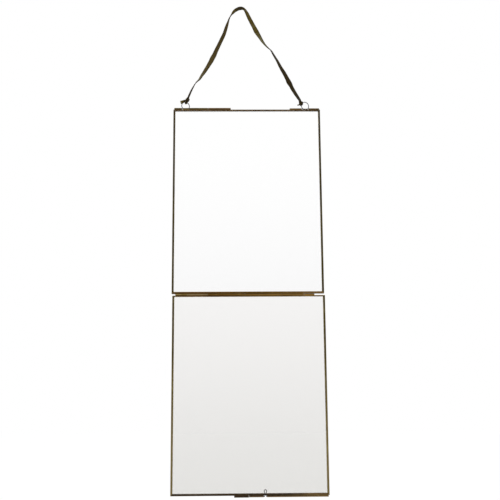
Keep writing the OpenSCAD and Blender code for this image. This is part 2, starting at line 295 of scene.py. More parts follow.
@dataclass(frozen=True)
class Finish:
    """A material that is built when the first piece asks for it."""

    name: str

    def material(self) -> Material:
        """Finds the material, or builds it."""
        known = bpy.data.materials.get(self.name)
        return known or self.mix(FinishBench(self.name))

    def mix(self, bench: FinishBench) -> Material:
        """Builds the material on its bench; each finish has its own way."""
        raise NotImplementedError


class Run(Enum):
    """Direction in which a piece of metal was drawn, and its streaks run."""

    ACROSS = (0.12, 1.0, 1.0)
    UPRIGHT = (1.0, 1.0, 0.12)


@dataclass(frozen=True)
class AlongBarShift:
    """How a bar's colour shifts from one place along it to another."""

    axis: str
    start: float
    end: float
    tone: Colour


@dataclass(frozen=True)
class AgedBrassWithPaintedLight(Finish):
    """Thin brass sheet under a brown patina, rubbed through along its edges; faces that point down and up
    take painted shade and painted light, most often darkest where they face down.
    """

    # under and above are painted light and shade: the colours of faces that point down and up. under also
    # colours the darker patches and specks of the patina.
    under: Colour
    front: Colour
    above: Colour
    rubbed: Colour
    run: Run = Run.ACROSS
    bare: float = 0.2
    rough: float = 0.42
    along_bar: AlongBarShift | None = None

    def mix(self, bench: FinishBench) -> Material:
        """Builds the material."""
        drawn = bench.scaled(bench.place, Vector(self.run.value))
        clouds = bench.cloud(bench.place, 38.0, 3.0, 0.5)
        streaks = bench.cloud(drawn, 700.0, 3.0, 0.6)
        specks = bench.cloud(bench.place, 1700.0, 2.0, 0.5)
        # Painted shade and light: which way each face points picks its colour, under where it points down and
        # above where it points up.
        normal_for_painted_light = bench.node("ShaderNodeTexCoord", output="Normal")
        height = bench.node("ShaderNodeSeparateXYZ", {}, {0: normal_for_painted_light}, "Z")
        front = self.front_along_bar(bench)
        base = bench.blend(bench.span(height, -0.85, -0.1), self.under, front)
        base = bench.blend(bench.span(height, 0.05, 0.8), base, self.above)
        tone = bench.span(clouds * 0.5 + streaks * 0.5, 0.36, 0.64, 0.0, 0.45)
        base = bench.blend(tone, base, self.under)
        worn = bench.span(streaks * 0.55 + clouds * 0.45, 0.6 - self.bare * 0.25, 0.76 - self.bare * 0.25)
        edge = bench.mark("rub") * bench.span(bench.cloud(drawn, 260.0, 2.0), 0.36, 0.62, 0.12, 0.75)
        bare = bench.math("MAXIMUM", worn * 0.5, edge)
        colour = bench.blend(bare, base, self.rubbed)
        colour = bench.blend(bench.span(specks, 0.64, 0.74, 0.0, 0.4), colour, self.under)
        rough = bench.span(streaks, 0.3, 0.7, self.rough, self.rough + 0.14) - bare * 0.1
        relief = streaks * 0.5 + specks * 0.2 + clouds * 0.6
        return bench.principled(
            {
                "Base Color": colour,
                "Metallic": bench.span(bare, 0.0, 1.0, 0.86, 1.0),
                "Roughness": rough,
                "Normal": bench.bump(relief, 0.00005),
            }
        )

    def front_along_bar(self, bench: FinishBench) -> Channel | Colour:
        """Colour of the front, which changes along the bar.

        Args:
            bench: The material's bench.

        Returns:
            The colour, or the channel that carries it.
        """
        if self.along_bar is None:
            return self.front
        along = bench.node("ShaderNodeSeparateXYZ", {}, {0: bench.place}, self.along_bar.axis)
        patchy = (bench.cloud(bench.place, 55.0, 2.0) - 0.5) * ((self.along_bar.end - self.along_bar.start) * 0.7)
        share = bench.span(along + patchy, self.along_bar.start, self.along_bar.end)
        return bench.blend(share, self.front, self.along_bar.tone)


@dataclass(frozen=True)
class DrawnWire(Finish):
    """Dull drawn wire of the rings, pins and catch."""

    dark: Colour
    light: Colour
    rough: float = 0.34

    def mix(self, bench: FinishBench) -> Material:
        """Builds the material."""
        clouds = bench.cloud(bench.place, 180.0, 3.0, 0.6)
        scratches = bench.cloud(bench.place, 1900.0, 2.0, 0.6)
        tone = bench.span(clouds, 0.36, 0.64)
        return bench.principled(
            {
                "Base Color": bench.blend(tone, self.dark, self.light),
                "Metallic": 0.9,
                "Roughness": bench.span(scratches, 0.3, 0.7, self.rough, self.rough + 0.16),
                "Normal": bench.bump(scratches, 0.00002),
            }
        )


@dataclass(frozen=True)
class ClearGlass(Finish):
    """Clear float glass with a painted shade that greys it faintly from top to bottom."""

    top: Colour
    foot: Colour
    top_z: float
    foot_z: float
    gather: float = 1.0

    def mix(self, bench: FinishBench) -> Material:
        """Builds the material."""
        # Painted shade: the glass greys from its top to its foot.
        height = bench.node("ShaderNodeSeparateXYZ", {}, {0: bench.place}, "Z")
        fall = bench.node(
            "ShaderNodeMapRange", {}, {"Value": height, "From Min": self.top_z, "From Max": self.foot_z}
        )
        waves = bench.cloud(bench.place, 14.0, 1.0)
        return bench.principled(
            {
                "Base Color": bench.blend(fall ** self.gather, self.top, self.foot),
                "Roughness": 0.0,
                "IOR": 1.46,
                "Transmission Weight": 1.0,
                "Normal": bench.bump(waves, 0.00004),
            }
        )


@dataclass(frozen=True)
class StrapLeather(Finish):
    """Waxed strap leather: a smooth face of uneven colour, with painted shade and a pale painted highlight
    laid along the strap, a flesh side and burnished edges.
    """

    dark: Colour
    light: Colour
    flesh: Colour
    flesh_light: Colour
    edge: Colour
    # pale paints a highlight where the strap faces the light; the knots' tails also turn pale towards their
    # tips.
    pale: Colour

    def mix(self, bench: FinishBench) -> Material:
        """Builds the material."""
        along = bench.node("ShaderNodeUVMap", {"uv_map": "grain"}, output="UV")
        pull = bench.scaled(along, Vector((1.0, 0.35, 1.0)))
        pores = bench.node(
            "ShaderNodeTexVoronoi", {"feature": "F1"}, {"Vector": along, "Scale": 16.0}, "Distance"
        )
        creases = bench.cloud(pull, 6.0, 4.0, 0.6)
        clouds = bench.cloud(along, 1.1, 3.0)
        fibres = bench.cloud(bench.scaled(along, Vector((5.0, 0.8, 1.0))), 9.0, 3.0, 0.7)
        uneven = bench.span(clouds * 0.6 + creases * 0.4, 0.36, 0.66, -0.16, 0.16)
        # Lightness laid on the mesh: the leather's own uneven colour together with painted shade where it is
        # low.
        dye = bench.mark("dye") + uneven
        face = bench.blend(dye, self.dark, self.light)
        flesh = bench.blend(bench.span(fibres * 0.5 + clouds * 0.5, 0.36, 0.66), self.flesh, self.flesh_light)
        side = bench.mark("flesh_side")
        colour = bench.blend(side, face, bench.blend(dye, self.dark, flesh))
        # Painted highlight: lightness above 1 turns the leather pale.
        colour = bench.blend(dye - 1.0, colour, self.pale)
        cut = bench.mark("cut_edge") * bench.span(clouds, 0.25, 0.6, 0.5, 1.0)
        colour = bench.blend(cut, colour, self.edge)
        height = (1.0 - pores) * 0.4 + creases * 0.6 + fibres * side * 0.5
        return bench.principled(
            {
                "Base Color": colour,
                "Roughness": bench.span(creases, 0.3, 0.7, 0.46, 0.62) + side * 0.2,
                "Specular IOR Level": 0.08,
                "Normal": bench.bump(height, 0.00016, 0.7),
            }
        )


@dataclass(frozen=True)
class Viewpoint:
    """Camera at the photograph's viewing angle, looking up from below the middle of the object."""

    place: tuple[float, float, float] = (-0.01241, -1.11320, -0.56209)
    yaw: float = 1.0588
    pitch: float = 10.5390
    roll: float = -0.3970
    lens: float = 59.684
    sensor: float = 36.0

    def build(self) -> None:
        """Makes the camera and sets it as the scene's."""
        yaw, pitch, roll = (math.radians(angle) for angle in (self.yaw, self.pitch, self.roll))
        ahead = Vector((math.sin(yaw) * math.cos(pitch), math.cos(yaw) * math.cos(pitch), math.sin(pitch)))
        level = Vector((math.cos(yaw), -math.sin(yaw), 0.0))
        above = level.cross(ahead)
        right = level * math.cos(roll) + above * math.sin(roll)
        up = above * math.cos(roll) - level * math.sin(roll)
        data = bpy.data.cameras.new("camera")
        data.lens = self.lens
        data.sensor_width = self.sensor
        data.clip_start = 0.01
        camera = add_object("camera", data)
        turned = Matrix((right, up, -ahead)).transposed().to_4x4()
        camera.matrix_world = Matrix.Translation(self.place) @ turned
        bpy.context.scene.camera = camera


@dataclass(frozen=True)
class Studio:
    """White room: soft lamps at a plain level, a pale floor, and white behind the object."""

    floor_z: float = -0.80
    floor_half: float = 6.0
    room_strength: float = 0.62
    lamp_side: float = 1.0
    lamp_power: float = 11.0

    def build(self) -> None:
        """Lights the scene and lays the floor."""
        self.light_room()
        self.hang_lamp("key_lamp", Vector((-1.1, -1.6, 0.7)), self.lamp_power)
        self.hang_lamp("fill_lamp", Vector((1.5, -1.3, -0.1)), self.lamp_power * 0.45)
        self.lay_floor()
        bpy.context.scene.view_settings.view_transform = "Standard"

    def light_room(self) -> None:
        """Makes the world white to look at, and softer as a lamp."""
        world = bpy.data.worlds.new("room")
        bpy.context.scene.world = world
        bench = NodeBench(world)
        strength = bench.node(
            "ShaderNodeMapRange",
            {},
            {"Value": bench.plain_view(), "To Min": self.room_strength, "To Max": 1.0},
        )
        white = bench.node(
            "ShaderNodeBackground", {}, {"Color": (1.0, 1.0, 1.0, 1.0), "Strength": strength}
        )
        bench.close(white, "ShaderNodeOutputWorld")

    def hang_lamp(self, name: str, place: Vector, power: float) -> None:
        """Hangs one soft lamp that faces the middle of the frames.

        Args:
            name: The lamp's name.
            place: Where it hangs.
            power: Its power in watts.
        """
        data = bpy.data.lights.new(name, "AREA")
        data.shape = "SQUARE"
        data.size = self.lamp_side
        data.energy = power
        lamp = add_object(name, data)
        lamp.location = place
        aim = Vector((0.0, 0.0, -0.38)) - place
        lamp.rotation_mode = "QUATERNION"
        lamp.rotation_quaternion = aim.to_track_quat("-Z", "Y")

    def lay_floor(self) -> None:
        """Lays the pale floor, which keeps the object's soft shadow."""
        half, low = self.floor_half, self.floor_z
        mesh = bpy.data.meshes.new("floor")
        corners = [(-half, -half, low), (half, -half, low), (half, half, low), (-half, half, low)]
        mesh.from_pydata(corners, [], [(0, 1, 2, 3)])
        bench = FinishBench("pale_floor")
        painted = bench.node("ShaderNodeBsdfDiffuse", {}, {"Color": (0.9, 0.9, 0.9, 1.0)})
        white = bench.node("ShaderNodeEmission", {}, {"Color": (1.0, 1.0, 1.0, 1.0), "Strength": 1.15})
        shown = bench.plain_view() * 0.75
        mixed = bench.node("ShaderNodeMixShader", {}, {0: shown, 1: painted, 2: white})
        mesh.materials.append(bench.close(mixed))
        add_object("floor", mesh)


def settle(piece: Object, body: str, node: str) -> Object:
    """Hands a finished piece to the frame.

    Args:
        piece: The piece.
        body: The body that it rides on.
        node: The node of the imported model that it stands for.

    Returns:
        The same piece.
    """
    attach(piece, body)
    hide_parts(node)
    log.info("%s rides on %s with %d faces", piece.name, body, len(piece.data.polygons))
    return piece


def new_piece(name: str, mesh: Mesh, material: Material) -> Object:
    """Puts a mesh into the scene under one material.

    Args:
        name: The piece's name.
        mesh: Its mesh, already in place.
        material: Its finish.

    Returns:
        The new object, at the origin.
    """
    mesh.name = name
    mesh.materials.clear()
    mesh.materials.append(material)
    return add_object(name, mesh)


class EasedCopy:
    """A copy of a packed metal part with its sharp edges eased, and marked where hands rub them."""

    STEPS = 2
    SHARP_DEGREES = 35.0
    SMOOTH_DEGREES = 40.0
    FLAT_DEGREES = 0.6
    SAME_PLACE = 0.000002

    def __init__(self, ease: float) -> None:
        """Sets the width of the eased edges.

        Args:
            ease: Width of an eased edge, in metres.
        """
        self.ease = ease

    def mesh(self, node: str) -> Mesh:
        """Copies one node's mesh and eases its outer edges.

        Args:
            node: The node's name.

        Returns:
            The eased mesh, with the attribute "rub" on the eased faces.
        """
        work = bmesh.new()
        work.from_mesh(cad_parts[node].data)
        bmesh.ops.remove_doubles(work, verts=work.verts, dist=self.SAME_PLACE)
        flat = math.radians(self.FLAT_DEGREES)
        bmesh.ops.dissolve_limit(
            work, angle_limit=flat, verts=work.verts, edges=work.edges, delimit=set()
        )
        sharp = math.radians(self.SHARP_DEGREES)
        edges = [
            edge
            for edge in work.edges
            if edge.is_manifold and edge.is_convex and edge.calc_face_angle() > sharp
        ]
        done = bmesh.ops.bevel(
            work,
            geom=edges,
            offset=self.ease,
            segments=self.STEPS,
            profile=0.5,
            affect="EDGES",
            clamp_overlap=True,
        )
        rub = work.loops.layers.float.new("rub")
        for face in done["faces"]:
            for loop in face.loops:
                loop[rub] = 1.0
        many_sided = [face for face in work.faces if len(face.verts) > 4]
        bmesh.ops.triangulate(work, faces=many_sided)
        mesh = bpy.data.meshes.new(node)
        work.to_mesh(mesh)
        work.free()
        steady_normals(mesh, math.radians(self.SMOOTH_DEGREES))
        return mesh


def steady_normals(mesh: Mesh, limit: float) -> None:
    """Smooths a mesh over edges below an angle, with each face weighted by its area.

    Args:
        mesh: The mesh that is changed.
        limit: Largest angle that is smoothed over, in radians.
    """
    around: dict[int, list[MeshPolygon]] = {}
    for face in mesh.polygons:
        face.use_smooth = True
        for vertex in face.vertices:
            around.setdefault(vertex, []).append(face)
    nearest = math.cos(limit)
    normals = [Vector((0.0, 0.0, 1.0))] * len(mesh.loops)
    for face in mesh.polygons:
        for index in face.loop_indices:
            total = Vector()
            for other in around[mesh.loops[index].vertex_index]:
                if other.normal.dot(face.normal) > nearest:
                    total += other.normal * other.area
            normals[index] = total.normalized() if total.length > 0 else face.normal.copy()
    mesh.normals_split_custom_set(normals)


class WireSweep:
    """Geometry Nodes tree that draws a round wire along a chain of edges."""

    def __init__(self) -> None:
        """Builds the tree once."""
        tree = bpy.data.node_groups.new("wire_sweep", "GeometryNodeTree")
        self.tree = tree
        inputs = (("Path", "Geometry"), ("Wire Radius", "Float"), ("Sides", "Int"), ("Finish", "Material"))
        for name, kind in inputs:
            tree.interface.new_socket(name, in_out="INPUT", socket_type=f"NodeSocket{kind}")
        tree.interface.new_socket("Wire", in_out="OUTPUT", socket_type="NodeSocketGeometry")
        given = tree.nodes.new("NodeGroupInput")
        curve = tree.nodes.new("GeometryNodeMeshToCurve")
        profile = tree.nodes.new("GeometryNodeCurvePrimitiveCircle")
        sweep = tree.nodes.new("GeometryNodeCurveToMesh")
        smooth = tree.nodes.new("GeometryNodeSetShadeSmooth")
        real = tree.nodes.new("GeometryNodeRealizeInstances")
        paint = tree.nodes.new("GeometryNodeSetMaterial")
        result = tree.nodes.new("NodeGroupOutput")
        sweep.inputs["Fill Caps"].default_value = True
        for source, output, target, socket in (
            (given, "Path", curve, 0),
            (given, "Wire Radius", profile, "Radius"),
            (given, "Sides", profile, "Resolution"),
            (curve, 0, sweep, "Curve"),
            (profile, 0, sweep, "Profile Curve"),
            (sweep, 0, smooth, 0),
            (smooth, 0, real, 0),
            (real, 0, paint, "Geometry"),
            (given, "Finish", paint, "Material"),
            (paint, 0, result, 0),
        ):
            tree.links.new(source.outputs[output], target.inputs[socket])

    def draw(
        self, name: str, path: list[Vector], radius: float, material: Material, sides: int = 20
    ) -> Object:
        """Draws one wire and turns it into a plain mesh.

        Args:
            name: The piece's name.
            path: Points along its middle.
            radius: The wire's radius.
            material: Its finish.
            sides: Facets round it.

        Returns:
            The wire, as a plain mesh at the origin.
        """
        mesh = bpy.data.meshes.new(name + "_path")
        mesh.from_pydata([tuple(point) for point in path], [(i, i + 1) for i in range(len(path) - 1)], [])
        host = add_object(name + "_path", mesh)
        modifier = host.modifiers.new("sweep", "NODES")
        modifier.node_group = self.tree
        values = {"Wire Radius": radius, "Sides": sides, "Finish": material}
        for item in self.tree.interface.items_tree:
            if item.in_out == "INPUT" and item.name in values:
                modifier[item.identifier] = values[item.name]
        evaluated = host.evaluated_get(bpy.context.evaluated_depsgraph_get())
        swept = bpy.data.meshes.new_from_object(evaluated)
        bpy.data.objects.remove(host)
        return new_piece(name, swept, material)


@dataclass
class Station:
    """One place along a leather ribbon."""

    place: Vector
    side: Vector
    half_width: float
    half_thickness: float
    cup: float = 0.0
    dye: float = 0.0
    arc: float = 0.0


def heading(points: list[Vector], index: int) -> Vector:
    """Direction of a line of points at one of them, from its neighbours."""
    before, after = points[max(index - 1, 0)], points[min(index + 1, len(points) - 1)]
    return (after - before).normalized()


class RibbonMesh:
    """Closed leather ribbons in one mesh, with the grain laid along each of them."""

    UPPER_FACE = (
        (-0.975, 0.55), (-0.92, 0.9), (-0.7, 1.0), (-0.35, 1.0), (0.0, 1.0),
        (0.35, 1.0), (0.7, 1.0), (0.92, 0.9), (0.975, 0.55),
    )
    OUTLINE = (
        (-1.0, 0.0), *UPPER_FACE, (1.0, 0.0), *((x, -z) for x, z in reversed(UPPER_FACE)),
    )
    # Metres of leather to one unit of the grain
    GRAIN = 0.01

    def __init__(self, wrinkle: float) -> None:
        """Starts an empty mesh.

        Args:
            wrinkle: Height of the small wrinkles, in metres.
        """
        self.work = bmesh.new()
        self.uv = self.work.loops.layers.uv.new("grain")
        self.flesh = self.work.verts.layers.float.new("flesh_side")
        self.cut = self.work.verts.layers.float.new("cut_edge")
        self.dye = self.work.verts.layers.float.new("dye")
        self.wrinkle = wrinkle

    def lay(self, stations: list[Station]) -> None:
        """Adds one ribbon.

        Args:
            stations: Its places in order, from end to end.
        """
        rings = []
        arc = 0.0
        places = [station.place for station in stations]
        for index, station in enumerate(stations):
            ahead = heading(places, index)
            if index:
                arc += (station.place - places[index - 1]).length
            station.arc = arc
            side = (station.side - ahead * station.side.dot(ahead)).normalized()
            face = ahead.cross(side)
            ring = []
            for across, above in self.OUTLINE:
                lift = above * station.half_thickness + station.cup * (across * across - 0.4)
                point = station.place + side * (across * station.half_width) + face * lift
                ruffle = noise.noise(point * 420.0) * 0.6 + noise.noise(point * 1100.0) * 0.4
                vertex = self.work.verts.new(point + face * (ruffle * self.wrinkle))
                vertex[self.flesh] = 1.0 if above < 0 else (0.5 if above == 0 else 0.0)
                vertex[self.cut] = 1.0 if abs(across) > 0.95 else (0.5 if abs(across) > 0.9 else 0.0)
                vertex[self.dye] = station.dye
                ring.append(vertex)
            rings.append(ring)
        count = len(self.OUTLINE)
        for index in range(len(rings) - 1):
            for k in range(count):
                here, there = rings[index], rings[index + 1]
                corners = (here[k], here[(k + 1) % count], there[(k + 1) % count], there[k])
                quad = self.work.faces.new(corners)
                quad.smooth = True
                width = stations[index].half_width
                grid = ((k, index), (k + 1, index), (k + 1, index + 1), (k, index + 1))
                for loop, (turn, row) in zip(quad.loops, grid):
                    round_it = turn / count * width * 4.0 / self.GRAIN
                    loop[self.uv].uv = (round_it, stations[row].arc / self.GRAIN)
        for ring, flipped in ((rings[0], True), (rings[-1], False)):
            cap = self.work.faces.new(list(reversed(ring)) if flipped else ring)
            cap.smooth = False
            for loop in cap.loops:
                loop[self.uv].uv = (loop.vert.co.x / self.GRAIN, loop.vert.co.z / self.GRAIN)

    def build(self, name: str, material: Material) -> Object:
        """Closes the mesh and makes the piece.

        Args:
            name: The piece's name.
            material: Its finish.

        Returns:
            The piece, at the origin.
        """
        bmesh.ops.recalc_face_normals(self.work, faces=self.work.faces)
        mesh = bpy.data.meshes.new(name)
        self.work.to_mesh(mesh)
        self.work.free()
        return new_piece(name, mesh, material)


def curve_through(points: list[Vector], steps: int) -> list[Vector]:
    """Draws a smooth line through points.

    Args:
        points: The points, in order.
        steps: New points to each stretch.

    Returns:
        The line's points, from the first to the last.
    """
    line = []
    last = len(points) - 1
    for index in range(last):
        a, b = points[max(index - 1, 0)], points[index]
        c, d = points[index + 1], points[min(index + 2, last)]
        for step in range(steps):
            t = step / steps
            line.append(
                b
                + (c - a) * (0.5 * t)
                + (a * 2 - b * 5 + c * 4 - d) * (0.5 * t * t)
                + (b * 3 - a - c * 3 + d) * (0.5 * t * t * t)
            )
    line.append(points[last].copy())
    return line


LEATHER = StrapLeather(
    "waxed_leather",
    dark=shade(42, 32, 8),
    light=shade(76, 63, 28),
    flesh=shade(74, 61, 22),
    flesh_light=shade(90, 78, 34),
    edge=shade(40, 34, 20),
    pale=shade(126, 122, 90),
)


@dataclass
class LeatherStrap:
    """The flat strap that hangs over one point and twists one and a half times from knot to knot."""

    width: float = 0.0066
    thickness: float = 0.0012
    steps: int = 6
    wrinkle: float = 0.00012
    curl: float = 0.0006
    # Lightness along the strap, from end to end: the low values under the arch at the top and down the lower
    # right strand paint shade, values above 1 paint a pale highlight where the strap faces the light, and the
    # rest is the leather's own colour.
    dye_and_painted_light_stops: tuple[tuple[float, float], ...] = (
        (0.0, 0.05), (0.055, 0.3), (0.075, 1.5), (0.1, 1.3), (0.14, 0.95), (0.36, 0.85),
        (0.4, 0.15), (0.42, 0.9), (0.435, 1.1), (0.45, 0.15), (0.505, 0.15), (0.52, 0.95),
        (0.6, 1.0), (0.64, 1.1), (0.7, 1.8), (0.735, 1.5), (0.755, 0.15), (1.0, 0.1),
    )
    route: tuple[tuple[float, float, float, float], ...] = (
        (-0.078, 0, -0.137, 96), (-0.074, 0, -0.127, 92), (-0.069, 0, -0.117, 80),
        (-0.066, 0, -0.1125, 69), (-0.062, 0, -0.1085, 57), (-0.059, 0, -0.1035, 48),
        (-0.056, 0, -0.099, 37), (-0.0505, 0, -0.09, 25), (-0.048, 0, -0.0855, 18),
        (-0.0455, 0, -0.081, 5), (-0.0435, 0, -0.0765, -12), (-0.041, 0, -0.072, -30),
        (-0.039, 0, -0.067, -42), (-0.035, 0, -0.058, -50), (-0.031, 0, -0.049, -52),
        (-0.027, 0, -0.04, -55), (-0.024, 0, -0.0305, -60), (-0.0225, 0, -0.026, -70),
        (-0.021, 0, -0.0215, -81), (-0.0195, 0, -0.0165, -92), (-0.0175, 0, -0.012, -106),
        (-0.0145, 0, -0.008, -125), (-0.0115, 0, -0.004, -146), (-0.007, 0, -0.001, -157),
        (-0.003, 0, 0, -161), (0.0005, 0, -0.0005, -144), (0.0035, 0, -0.003, -131),
        (0.006, 0, -0.0075, -142), (0.008, 0, -0.012, -149), (0.0125, 0, -0.0215, -158),
        (0.017, 0, -0.0305, -166), (0.019, 0, -0.035, -194), (0.0215, 0, -0.0395, -224),
        (0.0245, 0, -0.0445, -242), (0.027, 0, -0.049, -252), (0.03, 0, -0.0535, -266),
        (0.0335, 0, -0.058, -278), (0.0375, 0, -0.062, -286), (0.0405, 0, -0.065, -294),
        (0.0445, 0, -0.0725, -302), (0.049, 0, -0.0805, -309), (0.0535, 0, -0.09, -319),
        (0.056, 0, -0.0945, -327), (0.0585, 0, -0.099, -332), (0.063, 0, -0.108, -340),
        (0.065, 0, -0.1125, -374), (0.0675, 0, -0.117, -406), (0.0695, 0, -0.1215, -416),
        (0.0745, 0, -0.1305, -427), (0.0795, 0, -0.1385, -437), (0.081, 0, -0.1425, -440),
    )

    def build(self) -> Object:
        """Lays the ribbon along its route.

        Returns:
            The strap.
        """
        places = [Vector(stop[:3]) for stop in self.route]
        turns = [Vector((stop[3], 0.0, 0.0)) for stop in self.route]
        line = curve_through(places, self.steps)
        angles = curve_through(turns, self.steps)
        stations = []
        for index, place in enumerate(line):
            across = heading(line, index).cross(TO_WALL).normalized()
            turn = math.radians(angles[index].x)
            side = across * math.cos(turn) + TO_WALL * math.sin(turn)
            drift = noise.noise(Vector((index * 0.045, 3.7, 0.0)))
            cup = self.curl * noise.noise(Vector((index * 0.03, 9.1, 0.0)))
            dye = self.dye_and_painted_light_at(index / (len(line) - 1))
            half_width = self.width / 2 * (1.0 + 0.05 * drift)
            stations.append(Station(place, side, half_width, self.thickness / 2, cup, dye))
        ribbon = RibbonMesh(self.wrinkle)
        ribbon.lay(stations)
        return ribbon.build("strap", LEATHER.material())

    def dye_and_painted_light_at(self, share: float) -> float:
        """Lightness at a share of the strap's length: the leather's colour with painted shade in its low
        values; above 1 it turns to a painted pale highlight.
        """
        stops = self.dye_and_painted_light_stops
        for (start, low), (end, high) in zip(stops, stops[1:]):
            if share <= end:
                return low + (high - low) * (share - start) / (end - start)
        return stops[-1][1]

    def declare(self) -> None:
        """Logs the strap's real length.
        """
        path = curve_through([Vector(stop[:3]) for stop in self.route], 3)
        length = sum((b - a).length for a, b in zip(path, path[1:]))
        log.info("the strap is %.3f m long", length)


@dataclass
class StrapKnot:
    """A knot that takes the strap's end through a ring and round itself; its sizes are in millimetres."""

    name: str
    stands_for: str
    ring: Vector
    collar: tuple[tuple[float, float], tuple[float, float]]
    girth: tuple[float, float, float]
    bight: tuple[float, float]
    bight_turn: float
    reach: float
    tail: tuple[tuple[float, float, float], ...]
    tail_widths: tuple[float, float]
    turns: float = 2.1
    half_width: float = 1.7
    half_thickness: float = 0.55
    wrinkle: float = 0.15
    collar_steps: int = 60
    bight_depth: float = 1.3
    bight_steps: int = 20
    rise_steps: int = 5

    def at(self, x: float, z: float, y: float = 0.0) -> Vector:
        """Place from the ring's middle, in millimetres."""
        return self.ring + Vector((x, y, z)) * MM

    def collar_stations(self) -> list[Station]:
        """Wraps the end round the standing part, thickest at the knot's middle."""
        top, foot = self.at(*self.collar[0]), self.at(*self.collar[1])
        axis = foot - top
        ahead = axis.normalized()
        u = ahead.cross(TO_WALL).normalized()
        v = ahead.cross(u)
        slim, full, low = self.girth
        stations = []
        for index in range(self.collar_steps + 1):
            share = index / self.collar_steps
            angle = math.tau * self.turns * share + 0.4
            out = u * math.cos(angle) + v * math.sin(angle)
            ends = slim * (1.0 - share) + low * share
            radius = ends + (full - ends) * math.sin(math.pi * share)
            lean = ahead + out * (0.5 * math.cos(math.pi * share) * (full - slim) / full)
            place = top + axis * share + out * (radius * MM)
            width, thickness = self.half_width * MM, self.half_thickness * MM
            stations.append(Station(place, lean, width, thickness, 0.0002))
        return stations

    def bight_stations(self) -> list[Station]:
        """Takes the strap down in front of the ring's wire, under it and up behind."""
        wire = self.at(*self.bight)
        turn = math.radians(self.bight_turn)
        along = Vector((math.cos(turn), 0.0, math.sin(turn)))
        inward = (self.ring - wire).normalized()
        depth = TO_WALL * (self.bight_depth * MM)
        rise = self.at(*self.collar[1]) - wire
        half_width, half_thickness = self.half_width * 0.95 * MM, self.half_thickness * MM
        places = [
            (wire + rise * (1.0 - index / self.rise_steps) - depth, 0.15)
            for index in range(self.rise_steps)
        ]
        for index in range(self.bight_steps + 1):
            angle = math.pi * index / self.bight_steps
            out = inward * (math.sin(angle) * self.reach * MM) - depth * math.cos(angle)
            places.append((wire + out, 0.3))
        places += [
            (wire + rise * (index / self.rise_steps) + depth, 0.15)
            for index in range(1, self.rise_steps + 1)
        ]
        return [Station(place, along, half_width, half_thickness, dye=dye) for place, dye in places]

    def tail_stations(self) -> list[Station]:
        """Lays the short tail that leaves the knot, spread flat towards its cut end."""
        line = curve_through([self.at(x, z, y) for x, y, z in self.tail], 8)
        first, last = self.tail_widths
        stations = []
        for index, place in enumerate(line):
            share = index / (len(line) - 1)
            side = Vector((0.0, 0.25 - 0.1 * share, 1.0))
            width = first + (last - first) * share
            thickness = self.half_thickness * (1.05 - 0.15 * share)
            dye = 0.1 + 1.9 * share ** 3
            stations.append(Station(place, side, width * MM, thickness * MM, dye=dye))
        return stations

    def build(self) -> Object:
        """Makes the knot's ribbons into one piece.

        Returns:
            The knot.
        """
        ribbons = RibbonMesh(self.wrinkle * MM)
        for stations in (self.collar_stations(), self.bight_stations(), self.tail_stations()):
            ribbons.lay(stations)
        return ribbons.build(self.name, LEATHER.material())


RING_WIRE = DrawnWire("dull_ring_wire", shade(22, 18, 22), shade(56, 48, 58), 0.4)
PIN_WIRE = DrawnWire("plain_pin_wire", shade(60, 50, 36), shade(120, 106, 80))
CATCH_WIRE = DrawnWire("catch_wire", shade(28, 26, 26), shade(80, 76, 74), 0.28)


@dataclass
class WireRing:
    """A round wire ring, bent shut with a fine joint under its knot."""

    name: str
    middle: Vector
    joint: float
    radius: float = 0.0056
    wire: float = 0.0005
    turn: float = 19.0
    gap: float = 3.0
    steps: int = 72

    def build(self, sweep: WireSweep) -> Object:
        """Draws the ring's wire.

        Args:
            sweep: The tree that draws wires.

        Returns:
            The ring.
        """
        lean = math.radians(self.turn)
        level = Vector((math.cos(lean), math.sin(lean), 0.0))
        path = []
        for index in range(self.steps + 1):
            angle = math.radians(self.joint + self.gap / 2 + (360.0 - self.gap) * index / self.steps)
            rise = Vector((0.0, 0.0, self.radius * math.sin(angle)))
            path.append(self.middle + level * (self.radius * math.cos(angle)) + rise)
        return sweep.draw(self.name, path, self.wire, RING_WIRE.material())


class Hanger:
    """Strap, knots and rings: all that hangs from the wall and carries the frames."""

    @staticmethod
    def ring_middle(node: str) -> Vector:
        """Middle of a ring's box."""
        low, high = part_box(node)
        return (low + high) / 2

    def build(self, sweep: WireSweep) -> None:
        """Builds the strap, the knots and the rings.

        Args:
            sweep: The tree that draws wires.
        """
        left_ring, right_ring = self.ring_middle("left_ring"), self.ring_middle("right_ring")
        strap = LeatherStrap()
        ribbon = settle(strap.build(), "hanger", "leather_strap")
        left = StrapKnot(
            "knot_left", "left_knot", left_ring,
            collar=((3.9, 12.0), (1.4, 6.2)), girth=(0.9, 2.3, 1.4),
            bight=(1.0, 5.5), bight_turn=8.0, reach=2.2,
            tail=((1.6, -2.2, 7.6), (-0.9, -2.8, 6.9), (-3.6, -2.4, 5.7), (-7.0, -1.8, 4.6)),
            tail_widths=(0.9, 2.6),
        )
        right = StrapKnot(
            "knot_right", "right_knot", right_ring,
            collar=((-6.3, 6.7), (-5.2, 2.3)), girth=(1.2, 2.4, 1.7),
            bight=(-4.8, 2.9), bight_turn=58.0, reach=1.4,
            tail=((-4.9, -2.3, 2.4), (-6.8, -2.7, 1.4), (-8.6, -2.2, 0.9), (-10.8, -1.6, 0.5)),
            tail_widths=(1.2, 0.7),
            turns=1.7,
        )
        knots = [
            settle(knot.build(), "hanger", knot.stands_for)
            for knot in (left, right)
        ]
        strap.declare()
        for name, middle, joint, node in (
            ("ring_left", left_ring, 95.0, "left_ring"),
            ("ring_right", right_ring, 130.0, "right_ring"),
        ):
            ring = WireRing(name, middle, joint).build(sweep)
            settle(ring, "hanger", node)
